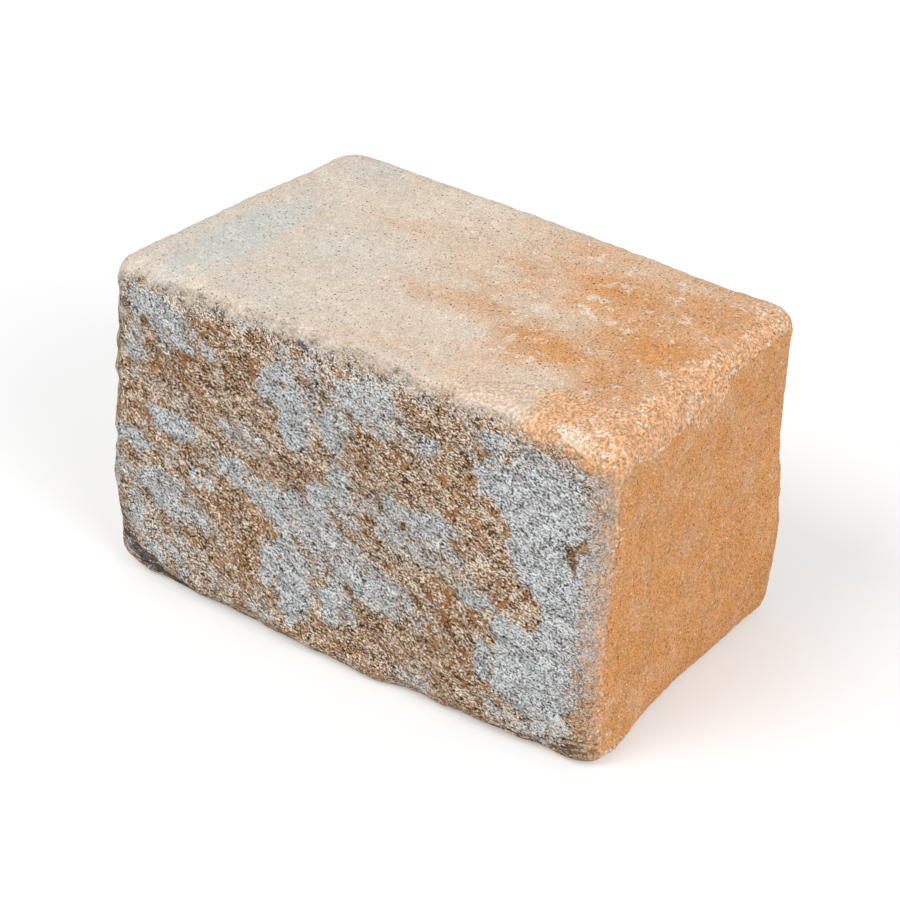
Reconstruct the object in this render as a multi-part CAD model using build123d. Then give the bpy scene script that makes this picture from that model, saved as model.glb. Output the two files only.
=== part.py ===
"""Split-face fence block: one solid piece of pressed concrete, tumbled after splitting.

The long front was split open by a blade, so it is a rough, crowned face with one lower corner knocked off.
The other five faces are moulded: flat beds above and below, a flat back, and two flat ends that draw in a
little towards the back. Tumbling has worn every arris round.

Millimetres. +X runs along the split face, -Y points out of it, +Z is up. The origin is the middle of the
block's own box, at the level of the ground that its lower bed rests on.
"""

from build123d import *
import os
from math import ceil, cos, radians, sin, sqrt, tau

# Driving dimensions of the moulded block, before its arrises are worn
FACE_LENGTH = 300.0  # along the split face, end to end
BLOCK_DEPTH = 192.0  # from the proudest point of the split face to the back
BLOCK_HEIGHT = 176.0  # from bed to bed
END_DRAW_IN = 10.0  # each end leans in by this much between the face and the back

# Radii of the worn arrises
BACK_LEFT_RADIUS = 19.0  # upright arris between the left end and the back
BACK_RIGHT_RADIUS = 19.0  # upright arris between the right end and the back
FACE_LEFT_RADIUS = 16.0  # upright arris between the left end and the split face
FACE_RIGHT_RADIUS = 17.0  # upright arris between the right end and the split face
TOP_ARRIS_RADIUS = 15.0  # all round the upper bed
FOOT_ARRIS_RADIUS = 13.0  # all round the lower bed

# Relief of the split face, measured back from its proudest plane
FACE_CROWN = 6.5  # how far the ends of the face fall behind its middle
FACE_BATTER = 1.0  # how far the face leans back between its foot and its top
RIDGE_HEIGHT = 3.5  # from the hollows to the crests of the long ridges
RIDGE_PITCH = 160.0  # from one long ridge to the next
RIDGE_HEADING = 28.0  # degrees that the ridges fall to the right
RIDGE_WANDER = 9.0  # how far a ridge strays to either side of its line
LUMP_HEIGHT = 2.0  # from the hollows to the crests of the lumps between the ridges
LUMP_PITCH = 150.0  # from one lump to the next, along the ridges

# The corner that was knocked off the face, at its lower left
KNOCK_LENGTH = 130.0  # along the foot of the face
KNOCK_HEIGHT = 46.0  # up the left end of the face
KNOCK_DEPTH = 5.0  # how far back the corner itself went
KNOCK_SOFTNESS = 0.16  # how gently the knock starts, as a share of its run

# The grid that the split face is drawn through
FACE_GRID_STEP = 56.0  # from one point of the grid to the next
FACE_OVERLAP = 20.0  # how far the drawn face runs on past the block
FACE_DEGREE = 3  # of the curves that the face is drawn with


def ridge_relief(x: float, z: float) -> float:
    """Setback of the long slanting ridges and of the lumps between them, from crest to hollow."""
    heading = radians(RIDGE_HEADING)
    along = x * cos(heading) - z * sin(heading)
    across = x * sin(heading) + z * cos(heading)
    wander = RIDGE_WANDER * sin(tau * along / FACE_LENGTH)
    ridges = RIDGE_HEIGHT / 2 * (1 + sin(tau * (across + wander) / RIDGE_PITCH))
    lumps = LUMP_HEIGHT / 2 * (1 + sin(tau * along / LUMP_PITCH) * cos(tau * across / LUMP_PITCH))
    return ridges + lumps


def knock_relief(x: float, z: float) -> float:
    """Setback of the knocked-off corner: nothing on the face, and a smooth ramp once past its edge."""
    past_edge = (-FACE_LENGTH / 2 - x) / KNOCK_LENGTH - z / KNOCK_HEIGHT + 1
    return KNOCK_DEPTH * (past_edge + sqrt(past_edge**2 + KNOCK_SOFTNESS**2)) / 2


def face_setback(x: float, z: float) -> float:
    """How far the split face lies behind its proudest plane, at a point of the face."""
    crown = FACE_CROWN * (2 * x / FACE_LENGTH) ** 2
    batter = FACE_BATTER * z / BLOCK_HEIGHT
    return crown + batter + ridge_relief(x, z) + knock_relief(x, z)


def spaced(low: float, high: float) -> list[float]:
    """Evenly spaced stations from low to high, about one grid step apart."""
    steps = ceil((high - low) / FACE_GRID_STEP)
    return [low + (high - low) * i / steps for i in range(steps + 1)]


def split_solid() -> Solid:
    """Everything behind the split face, wider, taller and deeper than the block."""
    across = spaced(-FACE_LENGTH / 2 - FACE_OVERLAP, FACE_LENGTH / 2 + FACE_OVERLAP)
    upward = spaced(-FACE_OVERLAP, BLOCK_HEIGHT + FACE_OVERLAP)
    points = [[(x, face_setback(x, z), z) for x in across] for z in upward]
    face = Face.make_surface_from_array_of_points(points, min_deg=FACE_DEGREE)
    return extrude(face, amount=BLOCK_DEPTH + FACE_OVERLAP, dir=(0, 1, 0))


def moulded_solid() -> Solid:
    """The block as it left the mould, with sharp arrises and a plain front."""
    half_face = FACE_LENGTH / 2
    half_back = half_face - END_DRAW_IN
    plan = Polygon(
        (-half_face, 0), (half_face, 0), (half_back, BLOCK_DEPTH), (-half_back, BLOCK_DEPTH), align=None
    )
    return extrude(plan, amount=BLOCK_HEIGHT)


def upright_edge(block: Part, right: bool, back: bool) -> Edge:
    """The sharp upright arris at one of the four corners of the block."""
    corner = Vector(FACE_LENGTH / 2 if right else -FACE_LENGTH / 2, BLOCK_DEPTH if back else 0, BLOCK_HEIGHT / 2)
    uprights = [edge for edge in block.edges() if abs((edge @ 1 - edge @ 0).Z) > BLOCK_HEIGHT / 2]
    return min(uprights, key=lambda edge: (edge @ 0.5 - corner).length)


def fence_block() -> Part:
    """The whole block: moulded, split, worn round, and stood on the origin."""
    block = moulded_solid() & split_solid()
    block = fillet(upright_edge(block, right=False, back=True), BACK_LEFT_RADIUS)
    block = fillet(upright_edge(block, right=True, back=True), BACK_RIGHT_RADIUS)
    block = fillet(upright_edge(block, right=False, back=False), FACE_LEFT_RADIUS)
    block = fillet(upright_edge(block, right=True, back=False), FACE_RIGHT_RADIUS)
    block = fillet(block.faces().sort_by(Axis.Z)[-1].edges(), TOP_ARRIS_RADIUS)
    block = fillet(block.faces().sort_by(Axis.Z)[0].edges(), FOOT_ARRIS_RADIUS)
    box = block.bounding_box()
    return Pos(-box.center().X, -box.center().Y, -box.min.Z) * block


os.makedirs("parts", exist_ok=True)
export_step(fence_block(), "parts/fence_block.step")
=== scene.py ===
"""Dress the split-face fence block: its broken front, its worn arrises and its blended concrete.

Metres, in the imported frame: +X runs along the split face, -Y points out of it and +Z is up. Sizes that a
mason would give in millimetres are written in millimetres and turned into metres where they are used.
"""

import functools
import itertools
import logging
from collections.abc import Sequence
from dataclasses import dataclass, field, replace
from enum import Enum
from math import cos, radians, sin
from typing import Any

import bpy
import numpy as np
from mathutils import Matrix, Vector
from mathutils.bvhtree import BVHTree

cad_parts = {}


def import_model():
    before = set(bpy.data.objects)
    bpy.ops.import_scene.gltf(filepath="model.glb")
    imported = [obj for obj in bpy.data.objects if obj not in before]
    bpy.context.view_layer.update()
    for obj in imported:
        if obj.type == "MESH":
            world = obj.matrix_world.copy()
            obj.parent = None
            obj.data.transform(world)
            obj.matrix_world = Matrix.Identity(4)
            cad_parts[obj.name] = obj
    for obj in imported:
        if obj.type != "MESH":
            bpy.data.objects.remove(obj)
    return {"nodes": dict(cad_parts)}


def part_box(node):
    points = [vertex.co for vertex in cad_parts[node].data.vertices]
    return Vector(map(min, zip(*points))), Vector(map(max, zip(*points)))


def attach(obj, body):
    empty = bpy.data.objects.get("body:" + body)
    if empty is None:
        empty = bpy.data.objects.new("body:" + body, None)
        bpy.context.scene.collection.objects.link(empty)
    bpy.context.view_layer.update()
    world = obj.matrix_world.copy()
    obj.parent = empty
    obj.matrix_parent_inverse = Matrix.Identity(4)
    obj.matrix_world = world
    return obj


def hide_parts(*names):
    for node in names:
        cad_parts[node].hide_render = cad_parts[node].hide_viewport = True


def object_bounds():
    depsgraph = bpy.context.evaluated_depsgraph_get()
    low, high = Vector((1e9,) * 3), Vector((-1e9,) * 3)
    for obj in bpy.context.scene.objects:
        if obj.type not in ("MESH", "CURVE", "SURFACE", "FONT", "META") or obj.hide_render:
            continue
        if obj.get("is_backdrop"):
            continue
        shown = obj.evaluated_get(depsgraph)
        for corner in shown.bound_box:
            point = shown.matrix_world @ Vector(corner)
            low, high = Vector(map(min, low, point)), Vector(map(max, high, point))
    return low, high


LOG = logging.getLogger("fence_block")

MM = 0.001
MIDDLE = 0.5  # of a value from 0 to 1, such as noise, or the bloom on a crust's rim
CRUST_SPAN = 20.0  # millimetres, from where the bloom is 0 outside a crust's rim to where it is 1 inside

Field = np.ndarray  # one value for each point
Points = np.ndarray  # one row of x, y and z for each point
Colour = tuple[int, int, int]  # red, green and blue as a screen shows them, 0 to 255
Stops = tuple[tuple[float, Colour], ...]  # places from 0 to 1, each with its colour
Span = tuple[float, float]  # where an easing is 0, and where it is 1
Triple = tuple[float, float, float]  # along x, y and z
Socket = bpy.types.NodeSocket


def smooth_step(low: float, high: float, value: Field) -> Field:
    """Ease each value from 0 at low to 1 at high.

    Args:
        low: value at which the step starts.
        high: value at which the step ends, which may be the lower of the two.
        value: the values to ease.

    Returns:
        The eased values, all from 0 to 1.
    """
    share = np.clip((value - low) / (high - low), 0.0, 1.0)
    return share * share * (3.0 - 2.0 * share)


def linear(colour: Colour) -> tuple[float, float, float, float]:
    """Turn a screen colour into the linear values that a shader takes.

    Args:
        colour: red, green and blue, 0 to 255.

    Returns:
        Linear red, green and blue, and an alpha of 1.
    """
    shares = np.array(colour) / 255.0
    values = np.where(shares <= 0.04045, shares / 12.92, ((shares + 0.055) / 1.055) ** 2.4)
    return (*(float(value) for value in values), 1.0)


class Mask(Enum):
    """What the block's mesh tells its finish about each point, each from 0 to 1."""

    SPLIT = "split"  # broken open, so that the grain shows
    BLOOM = "bloom"  # crusted with pale lime
    HAZE = "haze"  # thinly dusted with lime
    UMBER = "umber"  # stained dark brown
    FADED = "faded"  # brown gone to a greyer beige
    OCHRE = "ochre"  # coloured with orange pigment
    COOL = "cool"  # clouded with cool grey
    PALE = "pale"  # blotched or scratched with pale dust
    WEAR = "wear"  # tumbled down to coarse grains
    GRIME = "grime"  # painted shade: darkened in the cracks, along the foot and under the upper arris


class Side(Enum):
    """The six sides of the block, each with its column and row in the finish map."""

    FRONT = (0, 0)
    BACK = (1, 0)
    UPPER_BED = (0, 1)
    LOWER_BED = (1, 1)
    LEFT_END = (0, 2)
    RIGHT_END = (1, 2)


@dataclass(frozen=True)
class Hills:
    """Chance hills and hollows of one kind."""

    pitch: float  # millimetres from one hill to the next
    height: float
    octaves: int = 1  # each of them half as long and half as high as the one before


class LatticeNoise:
    """Smooth chance relief in space, the same on every run."""

    TABLE_LENGTH = 256
    TO_UNIT_RANGE = 1.6

    def __init__(self, seed: int) -> None:
        """Draw the lattice's table of slopes.

        Args:
            seed: number that picks one relief out of many.
        """
        draw = np.random.default_rng(seed)
        self.order = np.tile(draw.permutation(self.TABLE_LENGTH), 2)
        slopes = draw.normal(size=(self.TABLE_LENGTH, 3))
        self.slopes = slopes / np.linalg.norm(slopes, axis=1, keepdims=True)

    def waves(self, points: Points, wavelength: float) -> Field:
        """Give one octave of relief.

        Args:
            points: where to read it.
            wavelength: size of its hills and hollows, in the points' own unit.

        Returns:
            Heights of about -1 to 1.
        """
        scaled = points / wavelength
        cell = np.floor(scaled).astype(int)
        inside = scaled - cell
        blend = inside**3 * (inside * (inside * 6.0 - 15.0) + 10.0)
        total = np.zeros(len(points))
        for corner in itertools.product((0, 1), repeat=3):
            x, y, z = ((cell + corner) % self.TABLE_LENGTH).T
            index = self.order[self.order[self.order[x] + y] + z]
            rise = np.einsum("ij,ij->i", self.slopes[index], inside - corner)
            total += rise * np.prod(np.where(corner, blend, 1.0 - blend), axis=1)
        return self.TO_UNIT_RANGE * total

    def hills(self, points: Points, hills: Hills) -> Field:
        """Give hills and hollows of one kind.

        Args:
            points: where to read them, in metres.
            hills: their kind.

        Returns:
            Heights about 0, in the unit of the hills' height.
        """
        longest = hills.pitch * MM
        steps = range(hills.octaves)
        return hills.height * sum(self.waves(points, longest / 2**step) / 2**step for step in steps)

    def creases(self, points: Points, hills: Hills) -> Field:
        """Give hills of one kind and octave, folded up so that their crests are sharp."""
        return hills.height * (MIDDLE - 2.0 * np.abs(self.waves(points, hills.pitch * MM)))


@dataclass(frozen=True)
class Oval:
    """A leaning oval on one side of the block, in millimetres."""

    across: float
    up: float
    half_width: float
    half_height: float
    lean: float = 0.0  # degrees anticlockwise

    def radius(self, across: Field, up: Field) -> Field:
        """Say how far from the oval's middle each point lies, as a share of the way to its rim.

        Args:
            across: each point's place along the side, in millimetres.
            up: each point's place up the side, in millimetres.

        Returns:
            0 in the middle and 1 on the rim.
        """
        turn = radians(self.lean)
        right = across - self.across
        rise = up - self.up
        long = (right * cos(turn) + rise * sin(turn)) / self.half_width
        short = (rise * cos(turn) - right * sin(turn)) / self.half_height
        return np.hypot(long, short)


@dataclass(frozen=True)
class Patch(Oval):
    """A stain that fades out round its oval."""

    edge: float = 0.22  # share of the oval's own size over which it fades
    strength: float = 1.0

    def cover(self, across: Field, up: Field) -> Field:
        """Say how strongly the patch covers each point.

        Args:
            across: each point's place along the side, in millimetres.
            up: each point's place up the side, in millimetres.

        Returns:
            The patch's strength inside it, and 0 outside.
        """
        return self.strength * smooth_step(1.0 + self.edge, 1.0 - self.edge, self.radius(across, up))


@dataclass(frozen=True)
class Crust(Oval):
    """A crust that fills its oval: whole where it is thick, and broken up by the grain where it is thin."""

    core: float = 8.0  # how far from its rim the crust still gets thicker, in millimetres

    def depth(self, across: Field, up: Field) -> Field:
        """Give how far inside the crust's rim each point lies, in millimetres, or less than 0 outside it."""
        inside = 1.0 - self.radius(across, up)
        return np.minimum(inside * min(self.half_width, self.half_height), self.core)


def covered(patches: Sequence[Patch], across: Field, up: Field) -> Field:
    """Lay patches over each other.

    Args:
        patches: the patches of one side.
        across: each point's place along the side, in millimetres.
        up: each point's place up the side, in millimetres.

    Returns:
        The strongest cover at each point.
    """
    return np.max([patch.cover(across, up) for patch in patches], axis=0)


@dataclass(frozen=True)
class Scar:
    """A place where tumbling took a little more off the block, or a little less, than its even rounding."""

    place: Triple  # millimetres
    reach: Triple  # millimetres
    depth: float  # millimetres taken off, or less than 0 where more was left

    def push(self, points: Points) -> Field:
        """Give how far the scar moves each point along its outward direction, in metres."""
        away = np.linalg.norm((points / MM - self.place) / self.reach, axis=1)
        return -self.depth * MM * smooth_step(1.0, 0.0, away)


@dataclass
class WrappedGrid:
    """An even grid of points drawn over the block's box and then laid on the solid inside it."""

    fine_pitch: float = 1.08  # millimetres between points of the split face
    coarse_stride: int = 2  # fine steps to one coarse step, on the five moulded sides
    counts: tuple[int, int, int] = field(init=False, default=(0, 0, 0))
    steps: np.ndarray = field(init=False, repr=False, default=None)
    sides: list[Side] = field(init=False, repr=False, default_factory=list)

    def lay(self, solid: bpy.types.Object, low: Vector, high: Vector) -> bpy.types.Mesh:
        """Draw the grid and lay it on a solid.

        Args:
            solid: object whose mesh the grid is laid on.
            low: lowest corner of the solid's box.
            high: highest corner of the solid's box.

        Returns:
            The new mesh, with its faces pointing out.
        """
        size = np.array(high - low)
        stride = self.coarse_stride
        coarse = np.rint(size / (stride * self.fine_pitch * MM)).astype(int)
        self.counts = (stride * int(coarse[0]), int(coarse[1]), stride * int(coarse[2]))
        numbers = self._number_points()
        on_box = np.array(low) + size * self.steps / np.array(self.counts)
        mesh = bpy.data.meshes.new("fence_block_skin")
        mesh.from_pydata(self._nearest(solid, on_box), [], self._faces(numbers))
        mesh.update()
        return mesh

    def _number_points(self) -> np.ndarray:
        """Number the grid points on the six sides, and keep their steps.

        Returns:
            The number of each point by its steps along x, y and z, or -1 where there is none.
        """
        stride = self.coarse_stride
        used = np.zeros([count + 1 for count in self.counts], dtype=bool)
        used[:, 0, :] = True
        used[::stride, -1, ::stride] = True
        used[::stride, :, [0, -1]] = True
        used[[0, -1], :, ::stride] = True
        numbers = np.full(used.shape, -1)
        numbers[used] = np.arange(used.sum())
        self.steps = np.argwhere(used)
        return numbers

    @staticmethod
    def _nearest(solid: bpy.types.Object, points: Points) -> list[Vector]:
        """Find the nearest place on a solid for each point.

        Args:
            solid: object whose mesh is searched.
            points: the points.

        Returns:
            The nearest places.
        """
        corners = [vertex.co for vertex in solid.data.vertices]
        tree = BVHTree.FromPolygons(corners, [tuple(face.vertices) for face in solid.data.polygons])
        return [tree.find_nearest(point)[0] for point in points]

    def _faces(self, numbers: np.ndarray) -> list[list[int]]:
        """Join the points into faces, side by side, with no gap where fine steps meet coarse ones.

        Args:
            numbers: the number of each point by its steps.

        Returns:
            The corners of each face.
        """
        stride = self.coarse_stride
        sheets = {
            Side.FRONT: numbers[:, 0, :],
            Side.BACK: numbers[::stride, -1, ::stride].T,
            Side.UPPER_BED: numbers[::stride, :, -1],
            Side.LOWER_BED: numbers[::stride, :, 0].T,
            Side.LEFT_END: numbers[0, :, ::stride].T,
            Side.RIGHT_END: numbers[-1, :, ::stride],
        }
        between = self._points_between(numbers[:, 0, :])
        faces = []
        for side, sheet in sheets.items():
            corners = np.stack([sheet[:-1, :-1], sheet[1:, :-1], sheet[1:, 1:], sheet[:-1, 1:]], axis=-1)
            for face in corners.reshape(-1, 4).tolist():
                edges = zip(face, face[1:] + face[:1])
                ring = [(start, *between.get((start, end), ())) for start, end in edges]
                faces.append([number for run in ring for number in run])
                self.sides.append(side)
        return faces

    def _points_between(self, front: np.ndarray) -> dict[tuple[int, int], list[int]]:
        """Find the fine points that lie on each coarse edge round the split face.

        Args:
            front: the numbers of the split face's points.

        Returns:
            The points between the two ends of each such edge, for both directions.
        """
        stride = self.coarse_stride
        between = {}
        for border in (front[:, 0], front[:, -1], front[0], front[-1]):
            for start in range(0, len(border) - 1, stride):
                first, *inner, last = border[start:start + stride + 1].tolist()
                between[first, last] = inner
                between[last, first] = inner[::-1]
        return between

    def map_sides(self, mesh: bpy.types.Mesh, name: str, gap: float = 0.006) -> None:
        """Give the mesh a map that lays its six sides flat beside each other.

        Args:
            mesh: mesh that lay() made.
            name: name of the map.
            gap: share of the map that is left free round each side.
        """
        strides = np.array([self.coarse_stride, 1, self.coarse_stride])
        along, deep, tall = np.array(self.counts) / strides
        x, y, z = (self.steps / strides).T
        flat = {
            Side.FRONT: (x, z),
            Side.BACK: (along - x, z),
            Side.UPPER_BED: (x, y),
            Side.LOWER_BED: (along - x, y),
            Side.LEFT_END: (deep - y, z),
            Side.RIGHT_END: (y, z),
        }
        column_starts = (0.0, along)
        row_starts = (0.0, tall, tall + deep)
        gaps = len(row_starts) + 1
        scale = (1.0 - gaps * gap) / np.array([along + along, tall + deep + tall])
        layer = mesh.uv_layers.new(name=name)
        corners = np.empty(len(mesh.loops), dtype=int)
        mesh.loops.foreach_get("vertex_index", corners)
        totals = np.empty(len(mesh.polygons), dtype=int)
        mesh.polygons.foreach_get("loop_total", totals)
        spread = np.zeros((len(corners), 2))
        side_of_corner = np.repeat([list(Side).index(side) for side in self.sides], totals)
        for index, side in enumerate(Side):
            column, row = side.value
            chosen = side_of_corner == index
            place = np.stack(flat[side], axis=-1)[corners[chosen]]
            start = np.array([column_starts[column], row_starts[row]])
            spread[chosen] = (place + start) * scale + gap * np.array([1 + 2 * column, 1 + row])
        layer.data.foreach_set("uv", spread.astype(np.float32).ravel())


# The drift of lime crusts that comes back along the split face and down it, in millimetres
LIME_DRIFT = (
    Crust(-41.0, 144.0, 7.5, 12.0),
    Crust(-27.0, 135.0, 9.5, 21.0, lean=3.0, core=6.0),
    Crust(-32.0, 158.0, 5.0, 11.0, lean=8.0, core=1.6),
    Crust(20.0, 155.0, 15.0, 6.5, lean=-10.0, core=0.4),
    Crust(49.0, 147.0, 5.0, 3.4, lean=-30.0, core=0.6),
)
HAZE_DRIFT = (
    Patch(20.0, 155.0, 26.0, 13.0, lean=-10.0, edge=0.45, strength=1.0),
    Patch(-17.0, 157.0, 17.0, 14.0, edge=0.6, strength=0.7),
    Patch(2.0, 134.0, 9.0, 15.0, edge=0.6, strength=0.75),
    Patch(-19.0, 137.0, 8.0, 23.0, edge=0.6, strength=0.8),
    Patch(48.0, 148.0, 12.0, 7.0, lean=-20.0, edge=0.7, strength=0.5),
)

# The lime that comes once, in crusts and in thin haze
LIME_PLACES = (
    Crust(-4.0, 135.5, 6.5, 12.5, lean=3.0),
    Crust(-2.0, 37.0, 6.5, 12.5, lean=3.0),
    Crust(-10.5, 93.0, 7.5, 12.5),
    Crust(58.0, 106.5, 14.0, 4.4, lean=-4.0, core=1.0),
    Crust(31.0, 91.0, 8.0, 3.6, lean=10.0, core=0.8),
    Crust(82.0, 76.0, 9.0, 3.6, lean=5.0, core=0.8),
    Crust(-104.0, 98.0, 17.0, 6.4, lean=-3.0, core=2.6),
    Crust(-132.0, 81.0, 10.5, 4.6, lean=-3.0, core=1.6),
    Crust(-66.0, 87.0, 11.0, 6.0, lean=-22.0, core=3.0),
    Crust(-46.0, 79.0, 15.0, 6.5, lean=-22.0, core=1.6),
    Crust(-83.0, 74.0, 5.0, 6.5, lean=-20.0, core=0.8),
    Crust(85.0, 140.0, 7.5, 10.5),
    Crust(114.0, 136.0, 27.0, 20.0, lean=-8.0),
    Crust(122.0, 110.0, 24.0, 22.0, lean=-38.0),
    Crust(134.0, 84.0, 15.0, 30.0, lean=6.0),
    Crust(107.0, 65.0, 15.0, 6.5, lean=-8.0, core=1.4),
    Crust(91.0, 44.0, 7.0, 11.0),
    Crust(116.0, 46.0, 22.0, 25.0, lean=8.0, core=5.0),
)
HAZE_PLACES = (
    Patch(5.0, 99.0, 14.0, 20.0, edge=0.6, strength=0.75),
    Patch(46.0, 100.0, 31.0, 15.5, lean=-4.0, edge=0.6, strength=0.85),
    Patch(82.0, 76.0, 14.0, 7.5, edge=0.6, strength=0.75),
    Patch(-18.0, 74.0, 40.0, 12.0, lean=-8.0, edge=0.45, strength=1.0),
    Patch(-60.0, 111.0, 24.0, 15.0, edge=0.7, strength=0.5),
    Patch(-84.0, 76.0, 10.0, 11.0, edge=0.7, strength=0.6),
    Patch(-110.0, 80.0, 34.0, 5.5, edge=0.7, strength=0.5),
    Patch(-112.0, 22.0, 34.0, 18.0, lean=-20.0, edge=0.6, strength=0.5),
    Patch(-50.0, 14.0, 40.0, 10.0, lean=-6.0, edge=0.8, strength=0.36),
    Patch(46.0, 14.0, 16.0, 11.0, edge=0.8, strength=0.45),
    Patch(0.0, 172.0, 110.0, 8.0, edge=0.8, strength=0.46),
    Patch(116.0, 152.0, 42.0, 14.0, lean=-6.0, edge=0.5, strength=0.85),
    Patch(139.0, 96.0, 16.0, 68.0, edge=0.5, strength=0.95),
    Patch(118.0, 22.0, 28.0, 14.0, edge=0.6, strength=0.7),
)

# The dark brown knobs and the hook-shaped stain of the split face
UMBER_DRIFT = (
    Patch(8.5, 149.0, 3.0, 3.4, lean=30.0, edge=0.45),
    Patch(-7.0, 152.0, 2.4, 3.6, edge=0.5, strength=0.75),
    Patch(36.0, 155.0, 2.6, 2.2, edge=0.5, strength=0.8),
    Patch(48.0, 156.0, 4.5, 1.6, lean=-20.0, edge=0.6, strength=0.7),
    Patch(38.0, 139.0, 4.5, 3.0, edge=0.6, strength=0.65),
    Patch(50.0, 138.0, 5.0, 3.6, edge=0.6, strength=0.65),
    Patch(-57.0, 144.0, 9.0, 15.0, edge=0.7, strength=0.42),
)
UMBER_PLACES = (
    Patch(39.0, 98.0, 3.2, 3.0, edge=0.5),
    Patch(26.0, 105.0, 3.0, 5.0, edge=0.6, strength=0.7),
    Patch(-24.0, 98.0, 7.0, 12.0, edge=0.7, strength=0.5),
    Patch(74.0, 146.0, 9.0, 15.0, edge=0.7, strength=0.42),
    Patch(76.0, 48.0, 9.0, 15.0, edge=0.7, strength=0.42),
    Patch(135.0, 122.0, 2.8, 7.5, lean=-24.0, edge=0.5),
    Patch(132.5, 113.5, 2.8, 8.0, lean=22.0, edge=0.5),
    Patch(-115.0, 132.0, 28.0, 8.0, lean=-5.0, edge=0.7, strength=0.42),
    Patch(22.0, 130.0, 19.0, 9.0, edge=0.7, strength=0.42),
    Patch(21.0, 31.0, 18.0, 11.0, edge=0.7, strength=0.42),
    Patch(-72.0, 57.0, 24.0, 18.0, edge=0.7, strength=0.36),
    Patch(99.0, 158.0, 4.5, 1.0, lean=40.0, edge=0.6, strength=0.7),
)

# Where the brown of the split face is faded to a greyer beige
FADED_PLACES = (
    Patch(-108.0, 112.0, 34.0, 8.0, lean=-4.0, edge=0.7),
    Patch(-55.0, 113.0, 18.0, 6.0, lean=-15.0, edge=0.7, strength=0.9),
    Patch(4.0, 113.0, 24.0, 9.0, lean=-10.0, edge=0.6),
    Patch(48.0, 83.0, 42.0, 7.0, lean=3.0, edge=0.7, strength=0.9),
    Patch(-112.0, 24.0, 34.0, 20.0, lean=-24.0, edge=0.4),
    Patch(-62.0, 20.0, 36.0, 10.0, lean=-8.0, edge=0.7, strength=0.85),
    Patch(45.0, 12.0, 60.0, 8.0, edge=0.8, strength=0.6),
    Patch(-108.0, 168.0, 40.0, 8.0, lean=6.0, edge=0.6, strength=0.9),
    Patch(116.0, 12.0, 22.0, 9.0, edge=0.6, strength=0.9),
)

# Painted shade: the dark cracks of the knocked corners and the left edge, the shade along the foot, and the
# shadowed line under the upper arris
CRACK_SHADE_PLACES = (
    Patch(-124.0, 14.0, 22.0, 5.0, lean=-28.0, edge=0.7),
    Patch(-104.0, 6.0, 22.0, 4.5, lean=-10.0, edge=0.7),
    Patch(-140.0, 30.0, 8.0, 14.0, lean=-20.0, edge=0.8, strength=0.8),
    Patch(144.0, 11.0, 16.0, 8.0, lean=8.0, edge=0.8, strength=0.9),
    Patch(118.0, 7.0, 26.0, 5.0, lean=2.0, edge=0.9, strength=0.75),
    # painted shade along the foot, where its arris turns under
    Patch(-60.0, 4.0, 60.0, 4.0, lean=-2.0, edge=0.9, strength=0.65),
    # painted shadow under the overhanging upper arris
    Patch(-26.0, 173.5, 17.0, 2.0, lean=-6.0, edge=0.7, strength=0.65),
)

# Clouds of pigment on the upper bed, by their place along the face and back from it
OCHRE_CLOUDS = (
    Patch(74.0, 42.0, 44.0, 34.0, lean=6.0, edge=0.8, strength=0.8),
    Patch(112.0, 20.0, 52.0, 74.0, lean=4.0, edge=0.6, strength=0.7),
    Patch(73.0, -22.0, 32.0, 20.0, lean=-6.0, edge=0.95, strength=0.88),
    Patch(118.0, -16.0, 40.0, 40.0, edge=0.8, strength=0.7),
    Patch(22.0, -14.0, 42.0, 13.0, lean=4.0, edge=0.9, strength=0.58),
    Patch(32.0, 36.0, 62.0, 34.0, lean=6.0, edge=0.95, strength=0.46),
    Patch(-46.0, 36.0, 30.0, 9.0, edge=0.95, strength=0.26),
    Patch(54.0, 70.0, 62.0, 22.0, edge=0.95, strength=0.48),
    Patch(90.0, -58.0, 80.0, 32.0, lean=12.0, edge=0.8, strength=0.32),
    Patch(134.0, -70.0, 46.0, 36.0, lean=-30.0, edge=0.3, strength=0.66),
)
COOL_CLOUDS = (
    Patch(-112.0, -28.0, 20.0, 58.0, lean=-3.0, edge=0.95, strength=0.86),
    Patch(-104.0, 72.0, 22.0, 26.0, edge=0.95, strength=0.56),
    Patch(-66.0, -14.0, 34.0, 34.0, lean=20.0, edge=0.95, strength=0.4),
    Patch(-76.0, -66.0, 44.0, 18.0, lean=-10.0, edge=0.95, strength=0.45),
    Patch(-80.0, 8.0, 40.0, 10.0, edge=0.95, strength=0.42),
)

# Pale blotches on the upper bed, and on the right end by their place back from the face and up
BED_PALE = (
    Patch(81.0, 16.0, 6.0, 3.2, lean=24.0, edge=0.6, strength=0.9),
    Patch(89.0, 12.0, 4.5, 5.5, lean=-30.0, edge=0.6, strength=0.9),
    Patch(92.0, 19.0, 3.5, 3.0, edge=0.6, strength=0.7),
    Patch(60.0, 30.0, 4.5, 5.5, lean=40.0, edge=0.4),
    Patch(52.0, -28.0, 3.5, 4.5, lean=30.0, edge=0.4),
    Patch(44.0, -12.0, 1.7, 16.0, lean=22.0, edge=0.5, strength=0.85),
    Patch(60.0, -36.0, 9.0, 1.6, lean=-30.0, edge=0.5, strength=0.7),
    Patch(20.0, 42.0, 12.0, 1.5, lean=22.0, edge=0.6, strength=0.75),
    Patch(-92.0, 42.0, 14.0, 1.5, lean=25.0, edge=0.6, strength=0.65),
    Patch(-14.0, -2.0, 1.5, 20.0, lean=-6.0, edge=0.6, strength=0.6),
    Patch(30.0, -2.0, 9.0, 1.6, lean=-28.0, edge=0.6, strength=0.7),
    Patch(88.0, -12.0, 5.0, 4.0, lean=-20.0, edge=0.6, strength=0.6),
    Patch(125.0, -78.0, 12.0, 9.0, lean=-40.0, edge=0.5, strength=0.8),
    Patch(132.0, 76.0, 8.0, 8.0, edge=0.7, strength=0.7),
)
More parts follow.
